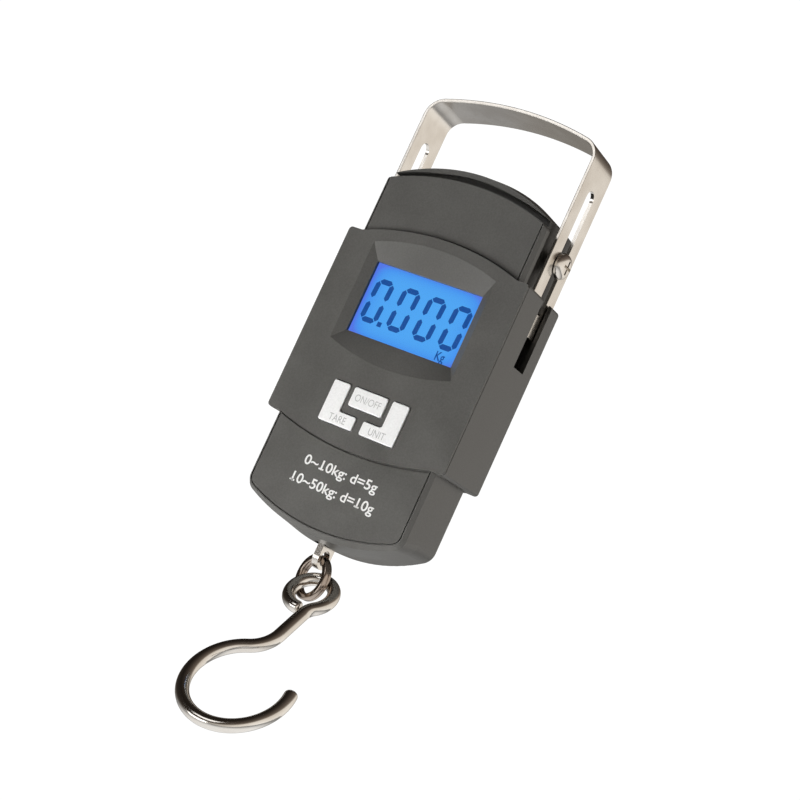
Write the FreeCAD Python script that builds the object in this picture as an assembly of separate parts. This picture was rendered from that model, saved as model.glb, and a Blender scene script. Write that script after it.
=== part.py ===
import FreeCAD, Part
import math
import os

# Portable digital hanging scale: a waisted plastic case, a flat steel handle that slides on two side
# screws, and a wire hook linked to the strain-gauge beam inside. Sizes are in millimetres.
# While modelling, X is to the right, Y runs from the raised front plate (y = 0) to the back, and Z is
# up from the lowest point of the case. save() then moves the origin under the middle of the handle.

Vector = FreeCAD.Vector

# Case, overall
band_width = 68.0          # over the side flanges of the raised band
body_width = 60.4          # the narrower body above and below the band
face_width = 58.8          # front face of the narrow body, inside its bevel
case_depth = 27.6
lower_height = 33.4        # case bottom to the band's lower corners
band_height = 63.6         # lower to upper corners of the band
upper_height = 31.2        # band's upper corners to the crest of the back

# Case, walls and steps
face_step = 1.4            # front face of the narrow body behind the raised plate
back_step = 1.7            # back of the narrow body in front of the raised back plate
plate_depth = 3.2          # depth of the front cover at the band
rim_depth = 5.2            # depth of the front cover round the upper body
ledge_depth = 6.0          # where the cover's top wall meets the back shell
wall = 1.8
groove_width = 2.2         # open joint over the top of the front cover
strap_recess = 1.6         # how far the upper body is set in beside the strap
flange_wall = 1.4
plate_edge = 0.9           # thickness of the raised plate at its side edges
plate_lap = 1.7            # width of those thin edges
corner_round = 1.2         # band's corners, seen from the front
line_width = 0.35          # moulded shadow lines along the front's outlines
line_depth = 0.6
channel_play = 0.7         # play front and back between the strap and its channel

# Arched outlines: how far each arc rises over the width of its outline
face_top_rise = 5.6
face_bottom_rise = 6.4
back_top_rise = 9.6
rim_top_rise = 7.8         # of the back shell's rim where it meets the cover
back_bottom_rise = 9.6
band_top_rise = 4.8
band_bottom_rise = 4.0
band_arch_half = 29.2      # half the width of the arched stretch of the band

# Display
recess_width = 46.2
recess_height = 33.6
recess_rise = 3.7
recess_depth = 2.05
view_width = 40.0
view_height = 24.1
view_above_band_bottom = 31.7
recess_below_view = 4.2    # recess corner below the corner of the viewing opening
window_thickness = 1.0
glass_thickness = 2.0
light_thickness = 1.1
stack_gap = 0.1

# Buttons
button_group_width = 28.8
button_group_height = 13.6
button_group_base = 2.0    # above the band's lower corners
arm_width = 6.3
foot_height = 4.5
foot_gap = 2.8             # between the feet of the two outer buttons
power_width = 12.8
power_height = 6.4
button_proud = 0.6
button_travel = 0.5
button_gap = 0.25
button_flange = 0.55
plunger_radius = 1.0
switch_size = 5.2

# Handle, a bent flat strap
strap_width = 16.5
strap_thickness = 1.2
strap_side_gap = 0.4
handle_corner = 7.0
handle_bar_radius = 113.0
leg_bottom_below_band_top = 12.5
handle_rise = 55.2         # band's upper corners to the top of the bar
strap_edge_round = 0.25
strap_foot_round = 2.0
slot_bottom_above_leg = 7.7
slot_length = 42.8
strap_middle = 16.7        # depth of the strap's middle line
screw_above_band_top = 12.2
travel_down = 22.0

# Side screws and the bushes they run in
side_screw_diameter = 4.0
screw_head_diameter = 8.6
screw_head_height = 2.5
screw_dome = 2.2           # rounding of the head's rim
screw_under_head = 0.3     # from the strap to the underside of the head
screw_into_bar = 9.0
bush_wall = 0.55
screw_play = 0.05
bush_play = 0.2

# Weighing beam and the bar that it hangs from
bar_height = 7.5
beam_width = 13.0
beam_depth = 8.6
beam_length = 52.0
load_line = 13.5           # depth of the line of pull
beam_hole = 5.2
beam_hole_spread = 8.8
beam_slit = 1.2
beam_slit_spread = 26.0
hanger_screw_diameter = 3.0
hanger_screw_spread = 7.6

# Hook tab, ring and hook
tab_thickness = 2.2
tab_width = 7.6
tab_head_width = 8.2
tab_hole_diameter = 5.0
tab_hole_below_case = 3.35
rivet_diameter = 4.0
rivet_head = 0.8
ring_bore = 10.8
ring_wire = 2.2            # radial thickness of the ring's flat wire
ring_depth = 2.9           # both turns of the wire, side by side
ring_corner = 0.7
ring_groove = 0.25         # joint between the two turns
ring_hang = 0.25           # from the hole's centre up to the middle of the wire
ring_turn = -24.6          # degrees about the vertical
hook_wire = 4.2
eye_bore = 9.8
shank_offset = 3.5
shank_length = 19.8        # eye centre to the end of the straight shank
shank_bend = 10.0
bowl_radius = 16.3         # centre line
bowl_offset = 6.7
tip_rise = 5.8             # tip above the bowl's centre
eye_bend = 5.5             # where the shank runs into the eye
eye_gap = 0.2              # between the eye's free end and the shank
hook_lean = 41.6           # degrees forward of straight down
eye_from_ring = Vector(3.8, -3.1, -4.8)

# Circuit board
board_width = 52.8
board_height = 65.5
board_thickness = 1.2
board_screw_spread = 49.2
board_screw_diameter = 1.8

# Batteries, size AAA, and their cover
battery_diameter = 10.4
battery_length = 44.5
battery_nub = 0.8
trough_beam_gap = 1.0      # between the weighing beam and a trough
trough_play = 0.4
trough_wall = 1.2
spring_length = 4.3
spring_radius = 3.0
spring_wire = 0.8
spring_turns = 6
touch_gap = 0.05
contact_thickness = 0.4
cover_margin = 0.9         # cover beyond the troughs, each side
cover_play = 0.15
cover_lip = 1.2
cover_web = 1.05           # rails and stiffening field behind the cover's plate
cover_travel = 12.0
cover_foot = 1.5           # from the band's lower corners to the room behind the cover
cover_tongue = 2.5         # the rails start this far above the cover's foot when it is slid open

# Case screws
case_screw_diameter = 2.2
case_screw_head = 4.6
pillar_diameter = 5.4
boss_diameter = 6.0
pillar_end = 13.0          # depth where the cover's pillars meet the shell's bosses
upper_screw_spread = 41.0
lower_screw_spread = 38.0
upper_screws_below_crest = 12.0
lower_screws_above_bottom = 14.0

# Corners and edges
face_low_corner = 3.5
face_high_corner = 1.2
shoulder_low_corner = 4.2
shoulder_high_corner = 1.6
shoulder_drop = 1.7        # the bottom bevel: how far the shoulder lies below the face's edge
shoulder_rise = 0.5        # how much more the shoulder's arc bows than the face's
back_low_corner = 5.0
back_high_corner = 4.0
straight_from = 12.0       # depth behind which the narrow body no longer widens
back_edge_round = 2.2
band_edge_round = 1.0
foot_line_width = 0.5      # shadow line where the raised plate stands on the narrow faces

fit = 0.1                  # small clearance between pieces that only touch
press = 0.02               # threads and driven pins, in radius
slip = 0.05                # pins that turn, in radius
pass_by = 0.1              # screws that pass through, in radius
through = 60.0             # longer than any cut needs

# Heights and depths that follow from the sizes above
band_bottom = lower_height
band_top = band_bottom + band_height
back_crest = band_top + upper_height
bush_diameter = side_screw_diameter + 2 * (bush_wall + screw_play)
slot_width = bush_diameter + 2 * bush_play
ring_radius = (ring_bore + ring_wire) / 2
eye_radius = (eye_bore + hook_wire) / 2
battery_spread = beam_width + 2 * (trough_beam_gap + trough_wall + trough_play) + battery_diameter
cover_width = battery_spread + battery_diameter + 2 * (trough_play + cover_margin)
face_crest = back_crest - 6.5
rim_crest = face_crest + groove_width + 2.1
face_base = 3.2
back_face = case_depth - back_step
recessed_half = body_width / 2 - strap_recess
inner_half_upper = recessed_half - wall
inner_half_lower = body_width / 2 - wall
screw_height = band_top + screw_above_band_top
leg_bottom = band_top - leg_bottom_below_band_top
bar_top = band_top + handle_rise
strap_outer = band_width / 2 - flange_wall - strap_side_gap
strap_inner = strap_outer - strap_thickness
channel_outer = band_width / 2 - flange_wall
channel_front = strap_middle - strap_width / 2 - channel_play
channel_back = strap_middle + strap_width / 2 + channel_play
channel_bottom = leg_bottom - travel_down - 4.0
view_bottom = band_bottom + view_above_band_bottom
view_top = view_bottom + view_height
window_back = plate_depth + window_thickness
glass_front = window_back + stack_gap
glass_back = glass_front + glass_thickness
light_back = glass_back + stack_gap + light_thickness
board_front = light_back + stack_gap
board_back = board_front + board_thickness
beam_front = load_line - beam_depth / 2
beam_back = load_line + beam_depth / 2
beam_top = screw_height - bar_height / 2
beam_bottom = beam_top - beam_length
rivet_height = beam_bottom + 6.0
tab_hole_height = -tab_hole_below_case
ring_top = tab_hole_height - ring_hang
battery_bottom = band_bottom + 5.8
trough_length = battery_length + spring_length + 2 * contact_thickness
trough_half = battery_diameter / 2 + trough_play
trough_top = battery_bottom + trough_length
cover_top = trough_top + 2.0
cover_inner_face = back_face + 0.2
trough_floor = cover_inner_face - cover_web - 2 * trough_half
button_base = band_bottom + button_group_base
button_top = button_base + button_group_height
power_base = button_top - power_height
power_switch = (0.0, power_base + power_height / 2)
side_switch_x = button_group_width / 2 - arm_width / 2
side_switch_z = button_base + foot_height + 2.2
screws_top = back_crest - upper_screws_below_crest
case_screw_points = [
    (-upper_screw_spread / 2, screws_top),
    (upper_screw_spread / 2, screws_top),
    (-lower_screw_spread / 2, lower_screws_above_bottom),
    (lower_screw_spread / 2, lower_screws_above_bottom),
]
board_base = band_bottom + 1.1
board_screw_points = [
    (side * board_screw_spread / 2, height)
    for side in (-1, 1)
    for height in (view_bottom - 8.0, view_top + 8.0)
]


def save(name, shape):
    """Writes one piece, with the origin moved under the middle of the handle's bar."""
    placed = shape.copy()
    placed.translate(Vector(0, -strap_middle, -(bar_top - strap_thickness)))
    placed.exportStep("parts/" + name + ".step")


def box(low, high):
    """Block between two opposite corners."""
    size = Vector(*high) - Vector(*low)
    return Part.makeBox(size.x, size.y, size.z, Vector(*low))


def rod(radius, start, end):
    """Round bar from one point to another."""
    way = Vector(*end) - Vector(*start)
    return Part.makeCylinder(radius, way.Length, Vector(*start), way)


def both_sides(shape):
    """The shape and its mirror image in the middle plane."""
    return [shape, shape.mirror(Vector(0, 0, 0), Vector(1, 0, 0))]


def arc_radius(half, rise):
    """Radius of the arc that rises by this much over a chord of twice the half width."""
    return (half * half + rise * rise) / (2 * rise)


def arched_corner(half, crest, radius, corner, up):
    """Points of one arched end on the right: side end, middle of the corner arc, start of the big arc."""
    centre = Vector(0, 0, crest - up * radius)
    reach = math.sqrt((radius - corner) ** 2 - (half - corner) ** 2)
    corner_centre = Vector(half - corner, 0, centre.z + up * reach)
    outward = (corner_centre - centre).normalize()
    middle = (outward + Vector(1, 0, 0)).normalize()
    side = Vector(half, 0, corner_centre.z)
    return side, corner_centre + middle * corner, centre + outward * radius


def arched_wire(half, low, low_radius, high, high_radius, low_corner, high_corner, y):
    """Closed outline with straight sides, arched ends and rounded corners, at depth y."""
    low_side, low_mid, low_arc = arched_corner(half, low, low_radius, low_corner, -1)
    high_side, high_mid, high_arc = arched_corner(half, high, high_radius, high_corner, 1)

    def left(point):
        return Vector(-point.x, y, point.z)

    def right(point):
        return Vector(point.x, y, point.z)

    edges = [
        Part.LineSegment(right(low_side), right(high_side)),
        Part.Arc(right(high_side), right(high_mid), right(high_arc)),
        Part.Arc(right(high_arc), Vector(0, y, high), left(high_arc)),
        Part.Arc(left(high_arc), left(high_mid), left(high_side)),
        Part.LineSegment(left(high_side), left(low_side)),
        Part.Arc(left(low_side), left(low_mid), left(low_arc)),
        Part.Arc(left(low_arc), Vector(0, y, low), right(low_arc)),
        Part.Arc(right(low_arc), right(low_mid), right(low_side)),
    ]
    return Part.Wire([edge.toShape() for edge in edges])


def body_wire(half, low, high, low_rise, high_rise, low_corner, high_corner, y):
    """Outline of the narrow body, its arcs given by their rise over the body's full width."""
    low_radius = arc_radius(body_width / 2, low_rise)
    high_radius = arc_radius(body_width / 2, high_rise)
    return arched_wire(half, low, low_radius, high, high_radius, low_corner, high_corner, y)


def deepen(wire, depth):
    """Solid that carries an outline straight back."""
    return Part.Face(wire).extrude(Vector(0, depth, 0))


def band_solid(front, back, inset):
    """Block with the band's outline: square shoulders and an arch over the middle."""
    half = band_width / 2 - inset
    low = band_bottom + inset
    high = band_top - inset
    arch = band_arch_half
    high_middle = Vector(0, front, high + band_top_rise)
    low_middle = Vector(0, front, low - band_bottom_rise)
    edges = [
        Part.LineSegment(Vector(arch, front, low), Vector(half, front, low)),
        Part.LineSegment(Vector(half, front, low), Vector(half, front, high)),
        Part.LineSegment(Vector(half, front, high), Vector(arch, front, high)),
        Part.Arc(Vector(arch, front, high), high_middle, Vector(-arch, front, high)),
        Part.LineSegment(Vector(-arch, front, high), Vector(-half, front, high)),
        Part.LineSegment(Vector(-half, front, high), Vector(-half, front, low)),
        Part.LineSegment(Vector(-half, front, low), Vector(-arch, front, low)),
        Part.Arc(Vector(-arch, front, low), low_middle, Vector(arch, front, low)),
    ]
    block = deepen(Part.Wire([edge.toShape() for edge in edges]), back - front)
    corners = [edge for edge in along_depth(block) if abs(abs(edge.BoundBox.XMin) - half) < 0.01]
    return block.makeFillet(corner_round, corners)


def side_edges(shape, y, half):
    """Upright edges of a shape at one depth and at one half width."""
    found = []
    for edge in shape.Edges:
        bounds = edge.BoundBox
        flat = abs(bounds.YMin - y) < 0.01 and abs(bounds.YMax - y) < 0.01
        upright = abs(abs(bounds.XMin) - half) < 0.01 and bounds.XLength < 0.01
        if flat and upright and bounds.ZLength > 10:
            found.append(edge)
    return found


def rim_edges(shape, y):
    """Every edge of a shape that lies at one depth."""
    found = []
    for edge in shape.Edges:
        bounds = edge.BoundBox
        if abs(bounds.YMin - y) < 0.01 and abs(bounds.YMax - y) < 0.01:
            found.append(edge)
    return found


def along_depth(shape):
    """Straight edges that run front to back."""
    found = []
    for edge in shape.Edges:
        bounds = edge.BoundBox
        if bounds.XLength < 0.01 and bounds.ZLength < 0.01 and bounds.YLength > 0.1:
            found.append(edge)
    return found


def rounded_block(low, high, radius):
    """Block with its four front-to-back edges rounded."""
    shape = box(low, high)
    return shape.makeFillet(radius, along_depth(shape))


def outer_button_shape(grow, front, back, corner):
    """L-shaped outline of the left button, grown all round by a margin, as a block."""
    outer_x = -button_group_width / 2 - grow
    arm = box((outer_x, front, button_base - grow), (outer_x + arm_width + 2 * grow, back, button_top + grow))
    foot_end = -foot_gap / 2 + grow
    foot = box((outer_x, front, button_base - grow), (foot_end, back, button_base + foot_height + grow))
    shape = arm.fuse(foot).removeSplitter()
    return shape.makeFillet(corner, along_depth(shape))


def power_button_shape(grow, front, back, corner):
    """Outline of the middle button, grown all round by a margin, as a block."""
    half = power_width / 2 + grow
    return rounded_block((-half, front, power_base - grow), (half, back, button_top + grow), corner)


def display_recess():
    """Funnel from the arched recess outline to the viewing opening, and the opening itself."""
    half = recess_width / 2
    low = view_bottom - recess_below_view
    high = low + recess_height
    outline = [
        Part.LineSegment(Vector(half, 0, low), Vector(half, 0, high)),
        Part.Arc(Vector(half, 0, high), Vector(0, 0, high + recess_rise), Vector(-half, 0, high)),
        Part.LineSegment(Vector(-half, 0, high), Vector(-half, 0, low)),
        Part.Arc(Vector(-half, 0, low), Vector(0, 0, low - recess_rise), Vector(half, 0, low)),
    ]
    view = view_width / 2
    opening = [
        Part.LineSegment(Vector(view, recess_depth, view_bottom), Vector(view, recess_depth, view_top)),
        Part.LineSegment(Vector(view, recess_depth, view_top), Vector(-view, recess_depth, view_top)),
        Part.LineSegment(Vector(-view, recess_depth, view_top), Vector(-view, recess_depth, view_bottom)),
        Part.LineSegment(Vector(-view, recess_depth, view_bottom), Vector(view, recess_depth, view_bottom)),
    ]
    wires = [Part.Wire([edge.toShape() for edge in edges]) for edges in (outline, opening)]
    funnel = Part.makeLoft(wires, True, True)
    hole = box((-view, recess_depth, view_bottom), (view, plate_depth + 1, view_top))
    return funnel.fuse(hole)


def outline_line(outline, inner):
    """Shallow groove between two outlines of the narrow face."""
    return deepen(outline, line_depth).cut(deepen(inner, line_depth))


def shadow_lines():
    """Grooves just inside the narrow faces' edge, and where those faces meet the raised plate."""
    start = face_step - 0.01
    outer = body_wire(
        face_width / 2 - line_width, face_base + line_width, face_crest + 1, face_bottom_rise, face_top_rise,
        3.5, 1.2, start,
    )
    inner = body_wire(
        face_width / 2 - 2 * line_width, face_base + 2 * line_width, face_crest + 1, face_bottom_rise,
        face_top_rise, 3.2, 1.0, start,
    )
    edge_line = outline_line(outer, inner)
    foot_line = band_solid(start, start + line_depth, -foot_line_width).cut(band_solid(0, plate_depth, fit))
    reach = face_width / 2 - 1
    foot_line = foot_line.common(box((-reach, 0, 0), (reach, plate_depth, back_crest)))
    return edge_line.fuse(foot_line)


def crest_groove():
    """Open joint over the cover's top edge, running out at both sides."""
    half = body_width / 2 + 2
    top = face_crest + groove_width
    high = body_wire(half, band_top, top, face_bottom_rise, face_top_rise, 1, 1, 0)
    low = body_wire(half, band_top, face_crest + fit, face_bottom_rise, face_top_rise, 1, 1, 0)
    return deepen(high, ledge_depth).cut(deepen(low, ledge_depth))


def front_cover():
    """Front moulding: the raised plate, the narrow faces above and below it, and its screw pillars."""
    face = body_wire(
        face_width / 2, face_base, face_crest, face_bottom_rise, face_top_rise,
        face_low_corner, face_high_corner, face_step,
    )
    shoulder = body_wire(
        body_width / 2, face_base - shoulder_drop, face_crest + 0.2, face_bottom_rise + shoulder_rise,
        face_top_rise, shoulder_low_corner, shoulder_high_corner, plate_depth,
    )
    cover = Part.makeLoft([face, shoulder], True, True)
    inner = body_wire(
        body_width / 2 - 1.5, face_base, face_crest - wall, face_bottom_rise, face_top_rise,
        2.5, 1.0, plate_depth,
    )
    rim = deepen(shoulder, ledge_depth - plate_depth).cut(deepen(inner, ledge_depth))
    above = band_top + fit
    top_half = inner_half_upper - fit
    keep_top = box(
        (-top_half, plate_depth, face_crest - face_top_rise - wall), (top_half, ledge_depth, back_crest),
    )
    cover = cover.fuse(rim.common(keep_top))
    side_rim = box((recessed_half + fit, plate_depth, above), (through, rim_depth, back_crest))
    for keep_side in both_sides(side_rim):
        cover = cover.fuse(rim.common(keep_side))
    plate = band_solid(0, plate_depth, fit)
    plate_half = band_width / 2 - plate_lap
    for lap in both_sides(box((plate_half, plate_edge, 0), (through, plate_depth, band_top + 1))):
        plate = plate.cut(lap)
    cover = cover.fuse(plate).removeSplitter()
    cover = cover.cut(shadow_lines())
    pocket_top = view_bottom - recess_below_view - recess_rise - 1.5
    cover = cover.cut(box((-27, 1.9, band_bottom), (27, plate_depth + 1, pocket_top)))
    cover = cover.cut(display_recess())
    for hole in both_sides(outer_button_shape(button_gap, -1, plate_depth, 0.9)):
        cover = cover.cut(hole)
    cover = cover.cut(power_button_shape(button_gap, -1, plate_depth, 0.9))
    for x, z in case_screw_points:
        pillar = rod(pillar_diameter / 2, (x, plate_depth - 0.5, z), (x, pillar_end, z))
        cover = cover.fuse(pillar).cut(rod(case_screw_diameter / 2 + press, (x, 5.5, z), (x, through, z)))
    for x, z in board_screw_points:
        floor = 1.9 if z < pocket_top else plate_depth
        stud = rod(1.7, (x, floor - 0.5, z), (x, board_front, z))
        cover = cover.fuse(stud).cut(rod(board_screw_diameter / 2 + press, (x, 4.2, z), (x, through, z)))
    return cover


def narrow_back(half, shrink, back):
    """Solid of the narrow body behind the front cover, shrunk inwards by a wall."""
    joint = body_wire(
        half, face_base - shoulder_drop + shrink, rim_crest - shrink, face_bottom_rise + shoulder_rise,
        rim_top_rise, max(shoulder_low_corner - shrink, 1.0), max(2.4 - shrink, 0.6), plate_depth,
    )
    full = body_wire(
        half, shrink, back_crest - shrink, back_bottom_rise, back_top_rise,
        max(back_low_corner - shrink, 1.0), max(back_high_corner - shrink, 0.6), straight_from,
    )
    return Part.makeLoft([joint, full], True, True).fuse(deepen(full, back - straight_from)).removeSplitter()


def back_hollow():
    """Inside of the back shell: wide below the strap channels, narrower beside them."""
    lower = narrow_back(inner_half_lower, wall, back_face - wall)
    lower = lower.common(box((-through, 0, -10), (through, case_depth, channel_bottom - wall)))
    upper = narrow_back(inner_half_upper, wall, back_face - wall)
    return lower.fuse(upper)


def strap_channel():
    """Space for one leg of the handle, with the window in the flange beside it."""
    slot = box((recessed_half, channel_front, channel_bottom), (channel_outer, channel_back, band_top + 1))
    window_half = 3.8
    window_bottom = leg_bottom - 10.8
    window = box(
        (channel_outer - 1, strap_middle - window_half, window_bottom),
        (band_width, strap_middle + window_half, band_top + 1),
    )
    above = box((recessed_half, 0, band_top), (through, through, back_crest + 10))
    return slot.fuse(window).fuse(above)


def battery_troughs():
    """Two open boxes for the batteries, joined by the wall that closes the case behind them."""
    outer = trough_half + trough_wall
    centre = battery_spread / 2
    lip_front = cover_inner_face - 1.3
    solid = box(
        (-inner_half_upper, lip_front - 1.4, band_bottom), (inner_half_upper, lip_front, cover_top + 1),
    )
    for side in (-1, 1):
        x = side * centre
        solid = solid.fuse(box(
            (x - outer, trough_floor - trough_wall, battery_bottom - trough_wall),
            (x + outer, lip_front, trough_top + trough_wall),
        ))
    for side in (-1, 1):
        x = side * centre
        solid = solid.cut(box(
            (x - trough_half, trough_floor, battery_bottom), (x + trough_half, through, trough_top),
        ))
    return solid


def back_shell():
    """Back moulding: deep walls, side flanges round the strap, troughs, bosses and the cover's grooves."""
    shell = narrow_back(body_width / 2, 0, back_face)
    shell = shell.makeFillet(back_edge_round, rim_edges(shell, back_face))
    band = band_solid(plate_depth, case_depth, 0)
    band = band.makeFillet(band_edge_round, side_edges(band, case_depth, band_width / 2))
    lip = band_solid(plate_edge + fit, plate_depth + 1, 0)
    for side in both_sides(box((band_width / 2 - plate_lap + fit, 0, 0), (through, through, band_top + 1))):
        band = band.fuse(lip.common(side))
    shell = shell.fuse(band).removeSplitter()
    shell = shell.cut(back_hollow())
    room_bottom = band_bottom + cover_foot
    shell = shell.cut(box(
        (-inner_half_upper, back_face - wall - 1, room_bottom), (inner_half_upper, back_face, cover_top + 1),
    ))
    for channel in both_sides(strap_channel()):
        shell = shell.cut(channel)
    ledge = narrow_back(inner_half_upper, wall, back_face - wall)
    ledge_low = face_crest - face_top_rise - wall - 1.6
    ledge = ledge.common(box((-through, ledge_depth, ledge_low), (through, ledge_depth + 1.4, back_crest)))
    opening = body_wire(
        inner_half_upper - 3, face_base, face_crest - wall - 0.8, face_bottom_rise, face_top_rise, 2.0, 1.0, 0
    )
    ledge = ledge.cut(deepen(opening, through))
    for x, z in case_screw_points:
        ledge = ledge.cut(rod(pillar_diameter / 2 + 0.3, (x, 0, z), (x, through, z)))
    shell = shell.fuse(ledge).cut(crest_groove())
    shell = shell.fuse(battery_troughs())
    lip_front = cover_inner_face - 1.3
    opening_half = cover_width / 2 + cover_play
    opening_top = cover_top + cover_play
    shell = shell.cut(box((-opening_half, lip_front, room_bottom), (opening_half, through, opening_top)))
    shell = shell.cut(box((-opening_half, back_face, 0), (opening_half, through, band_top - 10)))
    groove_half = opening_half + cover_lip
    shell = shell.cut(box(
        (-groove_half, lip_front, room_bottom), (groove_half, cover_inner_face - 0.05, opening_top),
    ))
    for x, z in case_screw_points:
        boss = rod(boss_diameter / 2, (x, pillar_end + 2 * fit, z), (x, back_face - 0.5, z))
        shell = shell.fuse(boss)
        shell = shell.cut(rod(case_screw_diameter / 2 + 0.25, (x, 10, z), (x, through, z)))
        shell = shell.cut(rod(case_screw_head / 2 + 0.3, (x, 20.0, z), (x, through, z)))
    hole_start = (inner_half_upper - 1, strap_middle, screw_height)
    hole_end = (recessed_half + 1, strap_middle, screw_height)
    for hole in both_sides(rod(bush_diameter / 2 + 0.3, hole_start, hole_end)):
        shell = shell.cut(hole)
    tab_slot_half = tab_width / 2 + 1.6
    tab_slot = rounded_slot(tab_thickness / 2 + 1.9, tab_slot_half)
    return shell.cut(tab_slot).removeSplitter()


def rounded_slot(half_x, half_y):
    """Upright cutter for the oblong hole in the bottom of the case."""
    shape = box((-half_x, load_line - half_y, -5), (half_x, load_line + half_y, wall + 3))
    upright = [edge for edge in shape.Edges if edge.BoundBox.ZLength > 5]
    return shape.makeFillet(half_x * 0.9, upright)


def battery_cover():
    """Sliding lid at the back: outer plate, side rails behind the lips, and finger grooves."""
    half = cover_width / 2
    plate = box((-half, cover_inner_face, band_bottom), (half, case_depth, cover_top))
    plate = plate.makeFillet(0.5, rim_edges(plate, case_depth))
    rail_half = half + cover_lip - cover_play
    rail_back = cover_inner_face
    rail_bottom = band_bottom + cover_travel + cover_tongue
    rail_front = rail_back - cover_web
    rails = box((-rail_half, rail_front, rail_bottom), (rail_half, rail_back - cover_play, cover_top - 2))
    web = box((-half + 1, rail_front, rail_bottom), (half - 1, rail_back, cover_top - 2))
    cover = plate.fuse(rails).fuse(web)
    for step in range(5):
        z = band_bottom + 6 + 2.2 * step
        groove = rod(0.6, (-8, case_depth + 0.15, z), (8, case_depth + 0.15, z))
        cover = cover.cut(groove)
    return cover.removeSplitter()


def display_window():
    """Clear window: a flange behind the cover and a raised field that fills the opening."""
    half = view_width / 2
    flange = box(
        (-half - 2.4, plate_depth, view_bottom - 2.4), (half + 2.4, window_back, view_top + 2.4),
    )
    field_front = recess_depth + 0.25
    field = box((-half + fit, field_front, view_bottom + fit), (half - fit, plate_depth, view_top - fit))
    return flange.fuse(field).removeSplitter()


def display_glass():
    """Liquid-crystal glass, longer below the window to reach its contact strip."""
    half = view_width / 2 + 2.2
    return box((-half, glass_front, view_bottom - 4.6), (half, glass_back, view_top + 2.2))


def backlight_panel():
    """Light guide behind the glass."""
    half = view_width / 2 + 1.5
    return box((-half, glass_back + stack_gap, view_bottom - 1.6), (half, light_back, view_top + 1.4))


def display_holder():
    """Thin frame that holds the glass and the light guide to the board."""
    half = view_width / 2 + 2.3
    frame = box((-half - 0.5, glass_front, view_bottom - 5.2), (half + 0.5, board_front, view_top + 2.9))
    return frame.cut(box((-half, 0, view_bottom - 4.7), (half, through, view_top + 2.3)))


def contact_strip():
    """Striped rubber strip from the ledge of the glass to the board."""
    half = view_width / 2
    return box((-half, glass_back, view_bottom - 4.4), (half, board_front, view_bottom - 2.4))


def main_board():
    """Circuit board with its four screw holes."""
    half = board_width / 2
    board_top = board_base + board_height
    board = rounded_block((-half, board_front, board_base), (half, board_back, board_top), 1.5)
    for x, z in board_screw_points:
        board = board.cut(rod(board_screw_diameter / 2 + 0.1, (x, 0, z), (x, 20, z)))
    return board


def board_chip(x, z, width, height, thickness):
    """Moulded package on the back of the board."""
    top = board_back + thickness
    shape = box((x - width / 2, board_back, z - height / 2), (x + width / 2, top, z + height / 2))
    return shape.makeChamfer(0.3, rim_edges(shape, top))


def reservoir_capacitor():
    """Small can standing on the back of the board, near its upper right corner."""
    height = board_base + board_height - 3.5
    return rod(2.5, (14.5, board_back, height), (14.5, board_back + 3.6, height))


def tact_switches():
    """Three switch bodies on the front of the board, each with a well for its plunger."""
    bodies = []
    half = switch_size / 2
    for x, z in (power_switch, (-side_switch_x, side_switch_z), (side_switch_x, side_switch_z)):
        body = box((x - half, board_front - 1.7, z - half), (x + half, board_front, z + half))
        well = rod(plunger_radius + 0.1, (x, board_front - 2, z), (x, board_front - 0.3, z))
        bodies.append(body.cut(well))
    return Part.makeCompound(bodies)


def plunger(x, z):
    """Small round plunger that a button's stem pushes into its switch."""
    return rod(plunger_radius, (x, board_front - 2.3, z), (x, board_front - 1.0, z))


def finish_button(cap, flange, x, z):
    """Joins a cap, its hidden flange and the stem over the switch, and rounds the cap's face."""
    cap = cap.makeFillet(0.35, rim_edges(cap, -button_proud))
    stem = rod(1.6, (x, 2.8, z), (x, board_front - 2.3, z))
    return cap.fuse(flange).fuse(stem).removeSplitter()


def power_button():
    """Middle button."""
    cap = power_button_shape(0, -button_proud, 2.1, 0.7)
    flange = power_button_shape(button_flange, 2.0, 2.9, 1.0)
    return finish_button(cap, flange, *power_switch)


def outer_button():
    """Left button, an L whose foot passes under the middle one."""
    cap = outer_button_shape(0, -button_proud, 2.1, 0.7)
    flange = outer_button_shape(button_flange, 2.0, 2.9, 1.0)
    return finish_button(cap, flange, -side_switch_x, side_switch_z)


def hanger_bar():
    """Steel bar across the case: side screws in its ends, the weighing beam screwed under its middle."""
    end = inner_half_upper - 0.2
    bar = box((-end, beam_front, beam_top), (end, strap_middle + 4.2, beam_top + bar_height))
    hole_start = (end - screw_into_bar - 1, strap_middle, screw_height)
    hole_end = (through, strap_middle, screw_height)
    for hole in both_sides(rod(side_screw_diameter / 2 + press, hole_start, hole_end)):
        bar = bar.cut(hole)
    for side in (-1, 1):
        x = side * hanger_screw_spread / 2
        bar = bar.cut(rod(hanger_screw_diameter / 2 + pass_by, (x, load_line, 0), (x, load_line, back_crest)))
    return bar


def hanger_screws():
    """Two screws that hold the weighing beam up against the bar."""
    screws = []
    seat = beam_top + bar_height
    for side in (-1, 1):
        x = side * hanger_screw_spread / 2
        shank = rod(hanger_screw_diameter / 2, (x, load_line, beam_top - 8), (x, load_line, seat))
        head = rod(hanger_screw_diameter * 0.9, (x, load_line, seat), (x, load_line, seat + 2.4))
        drive = rod(hanger_screw_diameter * 0.42, (x, load_line, seat + 1.0), (x, load_line, seat + 3))
        screws.append(shank.fuse(head).cut(drive).removeSplitter())
    return Part.makeCompound(screws)


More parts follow.
